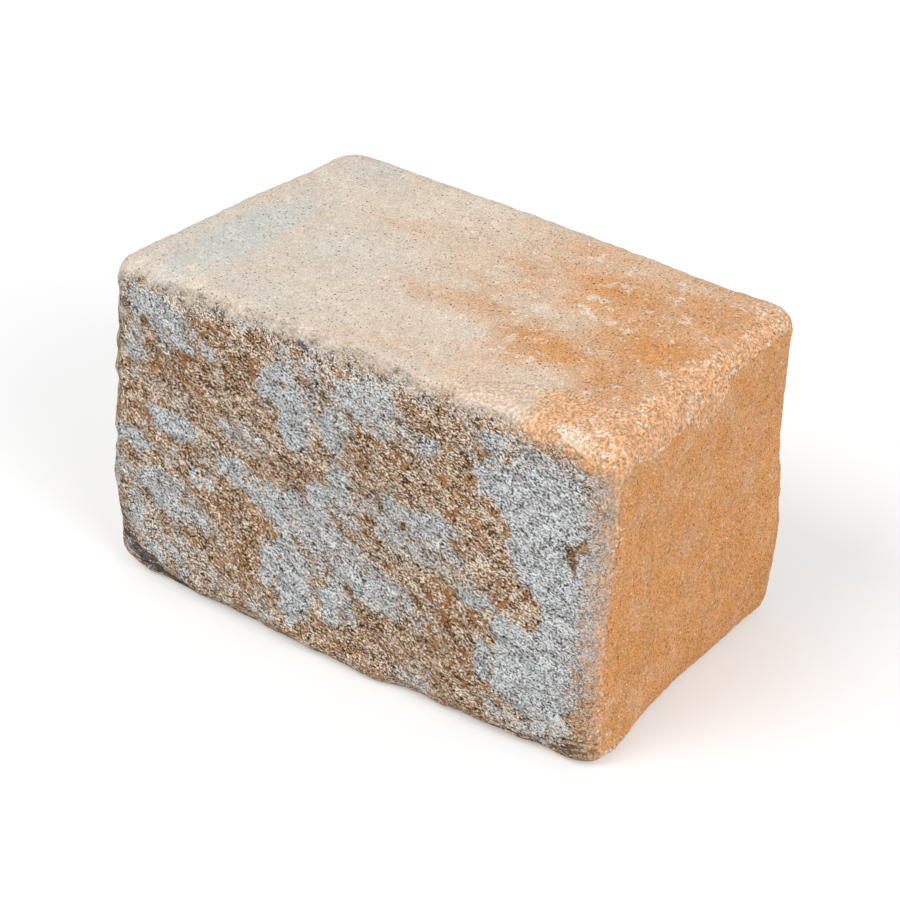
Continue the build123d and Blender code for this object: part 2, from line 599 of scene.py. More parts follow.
END_PALE = (
    Patch(-73.0, 124.0, 4.0, 4.0, lean=-30.0, edge=0.5, strength=0.9),
    Patch(-66.0, 66.0, 5.0, 2.8, lean=-35.0, edge=0.5, strength=0.9),
    Patch(-71.0, 17.0, 7.0, 4.0, lean=-25.0, edge=0.5, strength=0.9),
    Patch(-9.0, 108.0, 6.0, 3.0, lean=-28.0, edge=0.5, strength=0.7),
    Patch(2.0, 46.0, 8.0, 3.0, lean=-25.0, edge=0.5, strength=0.6),
    Patch(63.0, 124.0, 4.0, 13.0, lean=30.0, edge=0.6, strength=0.65),
    Patch(60.0, 84.0, 4.0, 5.0, edge=0.6, strength=0.65),
    Patch(71.0, 68.0, 5.0, 8.0, lean=25.0, edge=0.6, strength=0.65),
    Patch(64.0, 24.0, 5.0, 8.0, lean=25.0, edge=0.6, strength=0.65),
    Patch(4.0, 122.0, 24.0, 22.0, edge=0.9, strength=0.3),
    Patch(-4.0, 80.0, 22.0, 16.0, lean=15.0, edge=0.9, strength=0.28),
)

# Where tumbling bared the grain beyond the arris itself: on the upper bed, and on the right end
BED_WEAR = (
    Patch(142.0, -101.0, 82.0, 46.0, lean=-16.0, edge=0.16),
    Patch(150.0, 0.0, 20.0, 72.0, lean=-4.0, edge=0.35, strength=0.9),
    Patch(138.0, 78.0, 18.0, 13.0, lean=-30.0, edge=0.5, strength=0.8),
)
END_WEAR = (
    Patch(-96.0, 172.0, 46.0, 22.0, lean=22.0, edge=0.05),
    Patch(-30.0, 182.0, 60.0, 24.0, lean=4.0, edge=0.05),
    Patch(2.0, 172.0, 22.0, 20.0, lean=10.0, edge=0.06),
    Patch(30.0, 184.0, 60.0, 16.0, lean=2.0, edge=0.06),
)


@dataclass
class SplitFace:
    """The broken front: its relief, and the crusts and stains that lie on it, in millimetres."""

    heading: float = 26.0  # degrees that the grain falls to the right
    stretch: float = 2.0  # how much longer than wide the grain's hills are
    lumps: Hills = Hills(34.0, 1.4)
    ridges: Hills = Hills(15.0, 1.05)
    clods: Hills = Hills(6.5, 0.8)
    grains: Hills = Hills(2.7, 0.26)
    crust_thickness: float = 0.3
    crust_rim: Span = (0.45, 0.55)  # bloom where a crust starts to rise, and where it has its thickness
    drift_step: tuple[float, float] = (131.0, 98.5)  # along the face and down it, from one drift to the next
    drift_skew: float = 2.0  # how far right the lower drift lies
    drift_columns: tuple[int, ...] = (-1, 0)
    drift_rows: tuple[int, ...] = (0, 1)
    fray: Hills = Hills(15.0, 2.2, octaves=3)  # how far the outline of a crust or a stain strays
    fray_offsets: tuple[float, float] = (0.31, 0.77)  # metres, so that it strays along and up by two chances
    border: Hills = Hills(9.0, 1.0, octaves=3)  # the chance wandering of the break's border
    border_wander: float = 0.16  # how far it wanders round the ends, as a share of the outward direction
    border_turn: Span = (0.1, 0.75)  # forward share of the level direction, on the skin and on the break
    border_steadying: float = 0.02  # keeps that share steady where a side faces up or down
    foot_turn: Span = (0.97, 0.75)  # downward share of the direction, on the lower bed and on the break
    margin: Span = (126.0, 148.0)  # the broken grain thins out between these, towards the right end
    margin_thinning: float = 0.45
    crest_height: float = 174.0  # where the break ends at the upper bed, in the middle of the face
    crest_fall: float = 8.0  # how much lower it ends at the sides
    crest_middle: float = -10.0
    crest_reach: float = 140.0
    crest_blur: float = 8.0
    crest_wander: float = 3.5
    crest_start: float = -86.0  # the upper bed starts here, and the broken grain thins out on it
    crest_run: float = 0.5  # how much a step back on the bed counts as a step up
    faded_crest: Span = (158.0, 172.0)  # the brown fades between these heights, up to the upper arris
    noise: LatticeNoise = field(default_factory=lambda: LatticeNoise(seed=11), repr=False)

    def share(self, points: Points, normals: Points) -> Field:
        """Say how much of each point belongs to the broken face rather than to the moulded skin.

        Args:
            points: points of the skin.
            normals: their outward directions.

        Returns:
            1 on the broken face, 0 on the moulded skin and between them at the arris.
        """
        x, y, z = points.T / MM
        chance = self.noise.hills(points, self.border)
        level = np.hypot(normals[:, 0], normals[:, 1])
        forward = (self.border_steadying - normals[:, 1]) / (self.border_steadying + level)
        facing = smooth_step(*self.border_turn, forward + self.border_wander * chance)
        facing *= smooth_step(*self.foot_turn, -normals[:, 2])
        crest = self.crest_height - self.crest_fall * ((x - self.crest_middle) / self.crest_reach) ** 2
        rise = z + self.crest_run * np.maximum(0.0, y - self.crest_start) + self.crest_wander * chance
        below = smooth_step(crest + self.crest_blur, crest - self.crest_blur, rise)
        margin = 1.0 - self.margin_thinning * smooth_step(*self.margin, x)
        return margin * facing * below

    def relief(self, points: Points, bloom: Field) -> Field:
        """Give the height of the broken grain.

        Args:
            points: points of the skin.
            bloom: how far inside a crust each of them lies.

        Returns:
            Heights in metres, outward.
        """
        turn = radians(self.heading)
        x, y, z = points.T
        along = (x * cos(turn) - z * sin(turn)) / self.stretch
        across = x * sin(turn) + z * cos(turn)
        grain = np.stack([along, y, across], axis=1)
        lumps = self.noise.hills(grain, self.lumps)
        ridges = self.noise.creases(grain, self.ridges)
        clods = self.noise.hills(grain, self.clods)
        grains = self.noise.hills(points, self.grains)
        crust = self.crust_thickness * smooth_step(*self.crust_rim, bloom)
        return (lumps + ridges + clods + grains + crust) * MM

    def stray(self, points: Points) -> tuple[Field, Field]:
        """Give each point's place on the face in millimetres, shaken so that outlines drawn there fray."""
        along, up = (self.noise.hills(points + offset, self.fray) for offset in self.fray_offsets)
        return points[:, 0] / MM + along, points[:, 2] / MM + up

    def drifted(self, ovals: Sequence[Oval]) -> list[Oval]:
        """Repeat a drift of patches or crusts along the face and down it.

        Args:
            ovals: the drift as it lies in the upper middle of the face.

        Returns:
            All its copies.
        """
        step, fall = self.drift_step
        return [
            replace(oval, across=oval.across + column * step + row * self.drift_skew, up=oval.up - row * fall)
            for column, row, oval in itertools.product(self.drift_columns, self.drift_rows, ovals)
        ]

    def bloom(self, points: Points) -> Field:
        """Say how far inside a lime crust each point lies.

        Args:
            points: points of the skin.

        Returns:
            0.5 on a crust's rim, more inside it and less outside, from 0 to 1.
        """
        across, up = self.stray(points)
        crusts = self.drifted(LIME_DRIFT) + list(LIME_PLACES)
        deepest = np.max([crust.depth(across, up) for crust in crusts], axis=0)
        return np.clip(MIDDLE + deepest / CRUST_SPAN, 0.0, 1.0)

    def haze(self, points: Points) -> Field:
        """Say how thickly lime dusts each point, outside its crusts."""
        return covered(self.drifted(HAZE_DRIFT) + list(HAZE_PLACES), *self.stray(points))

    def umber(self, points: Points) -> Field:
        """Say how dark a brown stain lies on each point."""
        return covered(self.drifted(UMBER_DRIFT) + list(UMBER_PLACES), *self.stray(points))

    def faded(self, points: Points) -> Field:
        """Say how far the brown is faded at each point."""
        across, up = self.stray(points)
        return np.maximum(covered(FADED_PLACES, across, up), smooth_step(*self.faded_crest, up))

    def grime(self, points: Points) -> Field:
        """Say how dark the painted shade is at each point: in the cracks of the knocked corners, along the
        foot and under the upper arris.
        """
        return covered(CRACK_SHADE_PLACES, *self.stray(points))


@dataclass
class MouldedSkin:
    """The five moulded sides and the arrises that tumbling wore round them, in millimetres."""

    swells: Hills = Hills(46.0, 0.22)
    pits: Hills = Hills(9.0, 1.0)  # where the pits lie
    pit_offset: float = 0.5  # metres, so that the pits don't follow the swells
    pit_rim: Span = (0.45, 0.8)
    pit_depth: float = 0.5
    chips: Hills = Hills(13.0, 1.0, octaves=2)  # where the chips of the arrises lie
    chip_rim: Span = (0.15, 0.75)
    chip_depth: float = 0.9
    nubs: Hills = Hills(5.0, 0.4, octaves=2)
    arris_turn: Span = (0.985, 0.88)  # greatest share of the direction, where an arris starts and is full
    arris_wander: Hills = Hills(12.0, 0.03, octaves=2)
    face_turn: Span = (0.1, 0.4)  # forward and upward share of the direction, on the arris over the face
    spared_run: Span = (80.0, 50.0)  # that arris is worn right of the first, and spared left of the second
    spared_share: float = 0.9
    wear_shake: Hills = Hills(14.0, 4.0, octaves=3)
    wear_turn: Span = (0.3, 0.7)  # share of the outward direction that points up, or out of the right end
    pale_shake: Hills = Hills(8.0, 2.4, octaves=3)
    pale_bed_turn: Span = (0.3, 0.7)
    pale_end_turn: Span = (0.5, 0.8)
    pale_end_share: float = 0.75
    warp: Hills = Hills(30.0, 5.0, octaves=4)  # how far the pigment's clouds stray
    warp_offsets: tuple[float, float] = (0.2, 0.6)  # metres, so that they stray along and back by two chances
    bed_turn: Span = (0.2, 0.8)
    end_turn: Span = (0.05, 0.55)
    ochre_sweep: Span = (-10.0, 120.0)  # along the back and the lower bed, from no pigment to its share
    ochre_wander: Hills = Hills(80.0, 46.0, octaves=4)
    ochre_share: float = 0.7
    ochre_end_share: float = 0.84
    cool_sweep: Span = (-60.0, -130.0)
    cool_wander: Hills = Hills(50.0, 16.0, octaves=3)
    cool_share: float = 0.5
    noise: LatticeNoise = field(default_factory=lambda: LatticeNoise(seed=23), repr=False)

    def wear(self, points: Points, normals: Points) -> Field:
        """Say how far tumbling bared the grain at each point.

        Args:
            points: points of the skin.
            normals: their outward directions.

        Returns:
            1 on a fully worn arris, 0 on a flat side.
        """
        x, y, z = points.T / MM
        steepest = np.max(np.abs(normals), axis=1) + self.noise.hills(points, self.arris_wander)
        arris = smooth_step(*self.arris_turn, steepest)
        over_face = smooth_step(*self.face_turn, -normals[:, 1]) * smooth_step(*self.face_turn, normals[:, 2])
        arris *= 1.0 - self.spared_share * over_face * smooth_step(*self.spared_run, x)
        shake = self.noise.hills(points, self.wear_shake)
        bed = covered(BED_WEAR, x + shake, y + shake) * smooth_step(*self.wear_turn, normals[:, 2])
        end = covered(END_WEAR, y + shake, z + shake) * smooth_step(*self.wear_turn, normals[:, 0])
        return np.maximum.reduce([arris, bed, end])

    def relief(self, points: Points, wear: Field) -> Field:
        """Give the height of the moulded skin and of its worn arrises.

        Args:
            points: points of the skin.
            wear: how far tumbling bared the grain there.

        Returns:
            Heights in metres, outward.
        """
        swells = self.noise.hills(points, self.swells)
        pitted = self.noise.hills(points + self.pit_offset, self.pits)
        pits = -self.pit_depth * smooth_step(*self.pit_rim, pitted)
        chipped = self.noise.hills(points, self.chips)
        chips = -self.chip_depth * smooth_step(*self.chip_rim, chipped)
        nubs = self.noise.hills(points, self.nubs)
        return (swells + pits + wear * (chips + nubs)) * MM

    def _clouded(self, points: Points) -> tuple[Field, Field]:
        """Give each point's place on the upper bed in millimetres, shaken so that clouds stray."""
        along, back = (self.noise.hills(points + offset, self.warp) for offset in self.warp_offsets)
        return points[:, 0] / MM + along, points[:, 1] / MM + back

    def pale(self, points: Points, normals: Points) -> Field:
        """Say how pale the dust is that blotches each point.

        Args:
            points: points of the skin.
            normals: their outward directions.

        Returns:
            1 where the dust is thick.
        """
        x, y, z = points.T / MM
        shake = self.noise.hills(points, self.pale_shake)
        bed = covered(BED_PALE, x + shake, y + shake) * smooth_step(*self.pale_bed_turn, normals[:, 2])
        end = covered(END_PALE, y + shake, z + shake) * smooth_step(*self.pale_end_turn, normals[:, 0])
        return np.maximum(bed, self.pale_end_share * end)

    def ochre(self, points: Points, normals: Points) -> Field:
        """Say how much orange pigment colours each point.

        Args:
            points: points of the skin.
            normals: their outward directions.

        Returns:
            1 where the pigment is full.
        """
        across, back = self._clouded(points)
        clouds = covered(OCHRE_CLOUDS, across, back)
        wander = self.noise.hills(points, self.ochre_wander)
        sweep = self.ochre_share * smooth_step(*self.ochre_sweep, across + wander)
        on_bed = smooth_step(*self.bed_turn, normals[:, 2])
        on_end = smooth_step(*self.end_turn, normals[:, 0])
        return np.maximum(on_bed * clouds + (1.0 - on_bed) * sweep, self.ochre_end_share * on_end)

    def cool(self, points: Points, normals: Points) -> Field:
        """Say how much cool grey clouds each point.

        Args:
            points: points of the skin.
            normals: their outward directions.

        Returns:
            1 where the cloud is full.
        """
        across, back = self._clouded(points)
        wander = self.noise.hills(points, self.cool_wander)
        elsewhere = self.cool_share * smooth_step(*self.cool_sweep, across + wander)
        on_bed = smooth_step(*self.bed_turn, normals[:, 2])
        return on_bed * covered(COOL_CLOUDS, across, back) + (1.0 - on_bed) * elsewhere


@dataclass(frozen=True)
class Speckle:
    """Smooth noise in a finish."""

    pitch: float  # size of its hills, in millimetres
    swing: float = 1.0  # how far it swings, as a multiple of the plain noise
    detail: float = 2.0  # how many finer octaves it has
    roughness: float = 0.55  # how strong those are


class NodeGraph:
    """A short way to write a material's nodes: each call adds nodes and gives back what they put out."""

    def __init__(self, material: bpy.types.Material) -> None:
        """Empty a material's node tree.

        Args:
            material: the material to write.
        """
        material.use_nodes = True
        self.tree = material.node_tree
        self.tree.nodes.clear()

    def add(self, kind: str, inputs: dict[str, Any] | None = None, **settings: Any) -> bpy.types.Node:
        """Add one node.

        Args:
            kind: the node's type.
            inputs: values or outputs for its input sockets, by name.
            settings: its properties.

        Returns:
            The node.
        """
        node = self.tree.nodes.new(kind)
        for name, value in settings.items():
            setattr(node, name, value)
        for name, value in (inputs or {}).items():
            self.feed(node.inputs[name], value)
        return node

    def feed(self, socket: Socket, value: Any) -> None:
        """Link an output to an input socket, or set the socket to a plain value.

        Args:
            socket: the input socket.
            value: the output or the value.
        """
        if isinstance(value, bpy.types.NodeSocket):
            self.tree.links.new(value, socket)
        else:
            socket.default_value = value

    def math(self, operation: str, first: Any, second: Any = 0.0) -> Socket:
        """Work out one sum.

        Args:
            operation: the kind of sum.
            first: value or output.
            second: value or output.

        Returns:
            The result.
        """
        node = self.add("ShaderNodeMath", operation=operation)
        self.feed(node.inputs[0], first)
        self.feed(node.inputs[1], second)
        return node.outputs[0]

    def total(self, *values: Any) -> Socket:
        """Add up values or outputs."""
        return functools.reduce(functools.partial(self.math, "ADD"), values)

    def product(self, *values: Any) -> Socket:
        """Multiply values or outputs."""
        return functools.reduce(functools.partial(self.math, "MULTIPLY"), values)

    def greatest(self, *values: Any) -> Socket:
        """Pick the greatest of some values or outputs."""
        return functools.reduce(functools.partial(self.math, "MAXIMUM"), values)

    def about(self, value: Socket, swing: float) -> Socket:
        """Turn a value that lies about its middle into a swing about 0."""
        return self.product(self.math("SUBTRACT", value, MIDDLE), swing)

    def window(self, value: Any, span: tuple[Any, Any]) -> Socket:
        """Ease a value from 0 to 1.

        Args:
            value: value or output.
            span: where it is 0, and where it is 1.

        Returns:
            The eased value.
        """
        node = self.add("ShaderNodeMapRange", interpolation_type="SMOOTHSTEP")
        for socket, setting in zip(node.inputs, (value, *span, 0.0, 1.0)):
            self.feed(socket, setting)
        return node.outputs[0]

    def at_least(self, least: float, share: Socket) -> Socket:
        """Lift a share from 0 to 1 so that it starts from a least value."""
        return self.total(least, self.product(share, 1.0 - least))

    def mix(self, factor: Any, first: Any, second: Any, blend: str = "MIX") -> Socket:
        """Mix two colours.

        Args:
            factor: share of the second colour.
            first: colour or output under it.
            second: colour or output over it.
            blend: how they mix.

        Returns:
            The mixed colour.
        """
        node = self.add("ShaderNodeMix", data_type="RGBA", blend_type=blend)
        colours = [socket for socket in node.inputs if socket.type == "RGBA"]
        self.feed(node.inputs["Factor"], factor)
        self.feed(colours[0], first)
        self.feed(colours[1], second)
        return next(socket for socket in node.outputs if socket.type == "RGBA")

    def toned(self, colour: Socket, tone: Socket) -> Socket:
        """Make a colour lighter or darker by a factor."""
        grey = self.add("ShaderNodeCombineColor", {"Red": tone, "Green": tone, "Blue": tone}).outputs[0]
        return self.mix(1.0, colour, grey, blend="MULTIPLY")

    def ramp(self, value: Socket, stops: Stops) -> Socket:
        """Turn a value into a colour through a row of stops.

        Args:
            value: the value, 0 to 1.
            stops: places and colours, in rising order.

        Returns:
            The colour.
        """
        node = self.add("ShaderNodeValToRGB", {"Fac": value})
        elements = node.color_ramp.elements
        while len(elements) < len(stops):
            elements.new(1.0)
        for element, (place, colour) in zip(elements, stops):
            element.position = place
            element.color = linear(colour)
        return node.outputs["Color"]

    def mapped(self, vector: Socket, **settings: Triple) -> Socket:
        """Turn or squeeze a place."""
        return self.add("ShaderNodeMapping", {"Vector": vector, **settings}).outputs[0]

    def noise(self, vector: Socket, speckle: Speckle) -> Socket:
        """Give plain noise, about its middle.

        Args:
            vector: where to read it.
            speckle: its kind.

        Returns:
            The noise, before its swing.
        """
        settings = {
            "Vector": vector,
            "Scale": 1.0 / (speckle.pitch * MM),
            "Detail": speckle.detail,
            "Roughness": speckle.roughness,
        }
        return self.add("ShaderNodeTexNoise", settings).outputs["Fac"]

    def swung(self, vector: Socket, speckle: Speckle) -> Socket:
        """Give noise with its swing, about 0."""
        return self.about(self.noise(vector, speckle), speckle.swing)

    def cells(self, vector: Socket, pitch: float) -> bpy.types.Node:
        """Fill space with chance cells, one for each grain.

        Args:
            vector: where to read them.
            pitch: size of a cell, in millimetres.

        Returns:
            The node, with the distance to the cell's middle and the cell's own colour.
        """
        return self.add("ShaderNodeTexVoronoi", {"Vector": vector, "Scale": 1.0 / (pitch * MM)})

    def chance(self, cells: bpy.types.Node) -> Socket:
        """Give each cell one chance value from 0 to 1."""
        return self.add("ShaderNodeSeparateColor", {"Color": cells.outputs["Color"]}).outputs[0]

    def mask(self, mask: Mask) -> Socket:
        """Read one of the masks that the mesh carries."""
        return self.add("ShaderNodeAttribute", attribute_name=mask.value).outputs["Fac"]


@dataclass(frozen=True)
class Places:
    """Where a finish is read: one place on the block, in several sets of axes."""

    upright: Socket  # the block's own axes
    turned: Socket  # turned, so that no row of grains lies along a side
    along: Socket  # drawn out along the grain of the break
    level: Socket  # drawn out level


@dataclass(frozen=True)
class Dots:
    """Round dots in the middle of some cells."""

    rim: float  # radius of a dot, as a share of a cell
    chance: Span  # chance value of a cell that just lacks its dot, and of one that has the whole of it

    CORE = 0.5  # share of the radius within which a dot is whole

    def draw(self, graph: NodeGraph, cells: bpy.types.Node, extra: Any = 0.0) -> Socket:
        """Draw the dots.

        Args:
            graph: the material's nodes.
            cells: the cells.
            extra: how much the first of the two chance values is lowered, which gives more dots.

        Returns:
            1 inside a dot.
        """
        lacking, whole = self.chance
        dot = graph.window(cells.outputs["Distance"], (self.rim, self.CORE * self.rim))
        span = (graph.math("SUBTRACT", lacking, extra), whole)
        return graph.product(dot, graph.window(graph.chance(cells), span))


@dataclass(frozen=True)
class SandySkin:
    """The moulded skin: beige, clouded with cool grey and orange, sandy, scratched and pricked."""

    beige: Colour = (225, 209, 190)
    cool: Colour = (206, 208, 202)
    ochre: Colour = (219, 155, 95)
    pale: Colour = (240, 225, 208)
    pore: Colour = (112, 84, 64)  # darkens the colour round it
    drawn_out: Triple = (0.45, 1.0, 1.0)  # the orange clouds are longer along the face
    ochre_clouds: Speckle = Speckle(20.0, swing=0.95, detail=7.0, roughness=0.62)
    cool_clouds: Speckle = Speckle(26.0, swing=0.6, detail=5.0)
    cloud_span: Span = (0.0, 1.0)
    blotches: Speckle = Speckle(3.4, swing=2.4, detail=5.0, roughness=0.7)
    blotch_span: Span = (0.58, 1.05)
    scratch_courses: tuple[Speckle, Speckle] = (
        Speckle(30.0, detail=3.0, roughness=0.6),
        Speckle(17.0, detail=3.0, roughness=0.6),
    )
    scratch_span: Span = (0.02, 0.007)  # how far off a course a scratch ends, and where it is full
    scratch_runs: Speckle = Speckle(9.0)
    scratch_run_span: Span = (0.51, 0.61)
    scratch_bed_turn: Span = (0.5, 0.9)  # upward share of the outward direction, off the upper bed and on it
    scratch_least: float = 0.25  # strength of the scratches off the upper bed
    pale_dots: Dots = Dots(0.4, (0.16, 0.1))
    pale_cover: float = 0.66
    silt_pitch: float = 0.6
    silt_swing: float = 0.44
    silt_swing_in_ochre: float = 0.34  # how much more it swings in orange
    mottle: Speckle = Speckle(7.0, swing=0.3, detail=5.0, roughness=0.65)
    shade: Speckle = Speckle(26.0, swing=0.24)
    small_pore_pitch: float = 1.6
    small_pores: Dots = Dots(0.38, (0.84, 0.92))
    pores_in_ochre: float = 0.18  # how many more of them there are in orange
    large_pore_pitch: float = 3.6
    large_pores: Dots = Dots(0.19, (0.76, 0.8))
    pore_cover: float = 0.9

    def colour(self, graph: NodeGraph, places: Places) -> Socket:
        """Colour the skin.

        Args:
            graph: the material's nodes.
            places: where to read it.

        Returns:
            The colour.
        """
        drawn_out = graph.mapped(places.upright, Scale=self.drawn_out)
        ochre = graph.total(graph.mask(Mask.OCHRE), graph.swung(drawn_out, self.ochre_clouds))
        cool = graph.total(graph.mask(Mask.COOL), graph.swung(places.turned, self.cool_clouds))
        colour = graph.mix(graph.window(cool, self.cloud_span), linear(self.beige), linear(self.cool))
        colour = graph.mix(graph.window(ochre, self.cloud_span), colour, linear(self.ochre))
        small_cells = graph.cells(places.turned, self.small_pore_pitch)
        pale = graph.greatest(self._dust(graph, places), self.pale_dots.draw(graph, small_cells))
        colour = graph.mix(graph.product(pale, self.pale_cover), colour, linear(self.pale))
        colour = graph.toned(colour, self._tone(graph, places, ochre))
        extra = graph.product(graph.mask(Mask.OCHRE), self.pores_in_ochre)
        small = self.small_pores.draw(graph, small_cells, extra)
        large = self.large_pores.draw(graph, graph.cells(places.turned, self.large_pore_pitch))
        holes = graph.product(graph.greatest(small, large), self.pore_cover)
        return graph.mix(holes, colour, graph.mix(1.0, colour, linear(self.pore), blend="MULTIPLY"))

    def _dust(self, graph: NodeGraph, places: Places) -> Socket:
        """Say where pale dust shows on the skin, in blotches and in thin scratches.

        Args:
            graph: the material's nodes.
            places: where to read it.

        Returns:
            1 where the dust is thick.
        """
        blotches = graph.total(graph.mask(Mask.PALE), graph.swung(places.turned, self.blotches))
        outward = graph.add("ShaderNodeTexCoord").outputs["Normal"]
        upward = graph.add("ShaderNodeSeparateXYZ", {"Vector": outward}).outputs["Z"]
        on_bed = graph.window(upward, self.scratch_bed_turn)
        runs = graph.window(graph.noise(places.turned, self.scratch_runs), self.scratch_run_span)
        off_courses = [
            graph.math("ABSOLUTE", graph.swung(places.turned, course)) for course in self.scratch_courses
        ]
        lines = graph.greatest(*(graph.window(off_course, self.scratch_span) for off_course in off_courses))
        scratches = graph.product(lines, runs, graph.at_least(self.scratch_least, on_bed))
        return graph.greatest(graph.window(blotches, self.blotch_span), scratches)

    def _tone(self, graph: NodeGraph, places: Places, ochre: Socket) -> Socket:
        """Say how light or dark the skin is at each point.

        Args:
            graph: the material's nodes.
            places: where to read it.
            ochre: how orange each point is.

        Returns:
            A factor, about 1.
        """
        silt = graph.chance(graph.cells(places.turned, self.silt_pitch))
        swing = graph.total(self.silt_swing, graph.product(ochre, self.silt_swing_in_ochre))
        grains = graph.product(graph.about(silt, 1.0), swing)
        return graph.total(
            1.0, grains, graph.swung(places.turned, self.mottle), graph.swung(places.turned, self.shade)
        )


@dataclass(frozen=True)
class WornGrain:
    """The worn arrises: the skin's own colour, paler and broken up by coarse grains."""

    beige: Colour = (232, 217, 200)
    ochre: Colour = (238, 187, 144)
    pale: Colour = (250, 228, 206)
    pit: Colour = (104, 52, 20)
    white_fleck: Colour = (254, 246, 236)
    grey_fleck: Colour = (160, 174, 184)
    ochre_span: Span = (0.1, 0.6)
    patches: Speckle = Speckle(10.0, detail=6.0, roughness=0.65)
    patch_span: Span = (0.53, 0.72)
    dust_in_patches: float = 0.16  # how much pale dust adds to the pale patches
    cover: float = 0.75  # how far the skin's own colour gives way
    least_speckle: float = 0.5  # strength of the speckle where there is no orange
    sand_pitch: float = 1.1
    sand_swing: float = 0.7
    grains: Speckle = Speckle(1.5, swing=1.7, detail=3.0, roughness=0.7)
    pits: Speckle = Speckle(1.8, detail=4.0, roughness=0.8)
    pit_span: Span = (0.4, 0.34)
    pit_cover: float = 0.9
    gravel_pitch: float = 2.1
    fleck_span: Span = (0.42, 0.26)  # share of a cell at which a fleck ends, and where it is full
    white_chance: Span = (0.9, 0.91)
    grey_chance: Span = (0.975, 0.98)

    def colour(self, graph: NodeGraph, places: Places, skin: Socket) -> Socket:
        """Colour the worn arrises.

        Args:
            graph: the material's nodes.
            places: where to read it.
            skin: the colour of the skin beside it.

        Returns:
            The colour.
        """
        place = places.turned
        ochre = graph.window(graph.mask(Mask.OCHRE), self.ochre_span)
        bare = graph.mix(ochre, linear(self.beige), linear(self.ochre))
        dust = graph.product(graph.mask(Mask.PALE), self.dust_in_patches)
        pale = graph.window(graph.total(graph.noise(place, self.patches), dust), self.patch_span)
        bare = graph.mix(graph.product(pale, ochre), bare, linear(self.pale))
        colour = graph.mix(self.cover, skin, bare)
        strength = graph.at_least(self.least_speckle, ochre)
        sand = graph.about(graph.chance(graph.cells(place, self.sand_pitch)), self.sand_swing)
        speckle = graph.product(graph.total(sand, graph.swung(place, self.grains)), strength)
        colour = graph.toned(colour, graph.total(1.0, speckle))
        pits = graph.window(graph.noise(place, self.pits), self.pit_span)
        colour = graph.mix(graph.product(pits, strength, self.pit_cover), colour, linear(self.pit))
        gravel = graph.cells(place, self.gravel_pitch)
        near = graph.window(gravel.outputs["Distance"], self.fleck_span)
        for chance, fleck in ((self.white_chance, self.white_fleck), (self.grey_chance, self.grey_fleck)):
            chosen = graph.product(graph.window(graph.chance(gravel), chance), near, strength)
            colour = graph.mix(chosen, colour, linear(fleck))
        return colour


